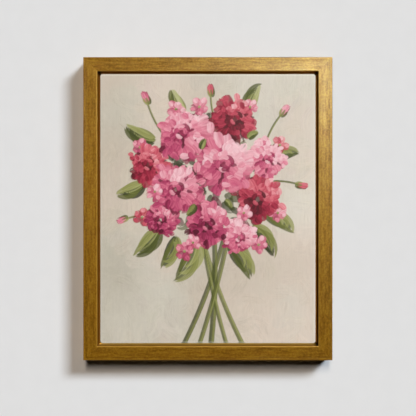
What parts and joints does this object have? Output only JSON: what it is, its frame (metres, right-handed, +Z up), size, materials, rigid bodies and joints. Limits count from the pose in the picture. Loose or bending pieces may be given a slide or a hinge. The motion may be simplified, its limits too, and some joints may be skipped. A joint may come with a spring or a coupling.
{
  "type": "framed canvas picture",
  "caption": "Small stretched canvas picture that floats in a mitred, gilded wooden frame, with a sawtooth hanger and rubber bumpers behind.",
  "frame": {"origin": "the point of the wall where the hanging nail comes out, behind the middle notch of the sawtooth hanger", "axes": "+Z up along the picture's height, +X along its width to the right as a viewer sees it, +Y into the wall, so the picture faces -Y"},
  "size_m": [0.2348, 0.0342, 0.2856],
  "materials": {
    "gilded_wood": "antique gold leaf over brown bole, brushed along each rail and worn, satin",
    "pine": "bare planed pine",
    "canvas": "primed plain-weave canvas, painted in oils in front and bare behind",
    "steel": "zinc plated, dull",
    "rubber": "matt soft rubber"
  },
  "bodies": {
    "root": {"rail_top": "gilded_wood", "rail_right": "gilded_wood", "rail_bottom": "gilded_wood", "rail_left": "gilded_wood", "bar_top": "pine", "bar_right": "pine", "bar_bottom": "pine", "bar_left": "pine", "canvas": "canvas", "staple_top_1": "steel", "staple_bottom_1": "steel", "staple_top_2": "steel", "staple_bottom_2": "steel", "staple_top_3": "steel", "staple_bottom_3": "steel", "staple_left_1": "steel", "staple_right_1": "steel", "staple_left_2": "steel", "staple_right_2": "steel", "staple_left_3": "steel", "staple_right_3": "steel", "staple_left_4": "steel", "staple_right_4": "steel", "joint_staple_top_left": "steel", "joint_staple_top_right": "steel", "joint_staple_bottom_right": "steel", "joint_staple_bottom_left": "steel", "corner_nail_top_left": "steel", "corner_nail_top_right": "steel", "corner_nail_bottom_right": "steel", "corner_nail_bottom_left": "steel", "screw_left_upper": "steel", "screw_left_lower": "steel", "screw_right_upper": "steel", "screw_right_lower": "steel", "hanger": "steel", "tack_left": "steel", "tack_right": "steel", "bumper_left": "rubber", "bumper_right": "rubber"}
  },
  "joints": []
}
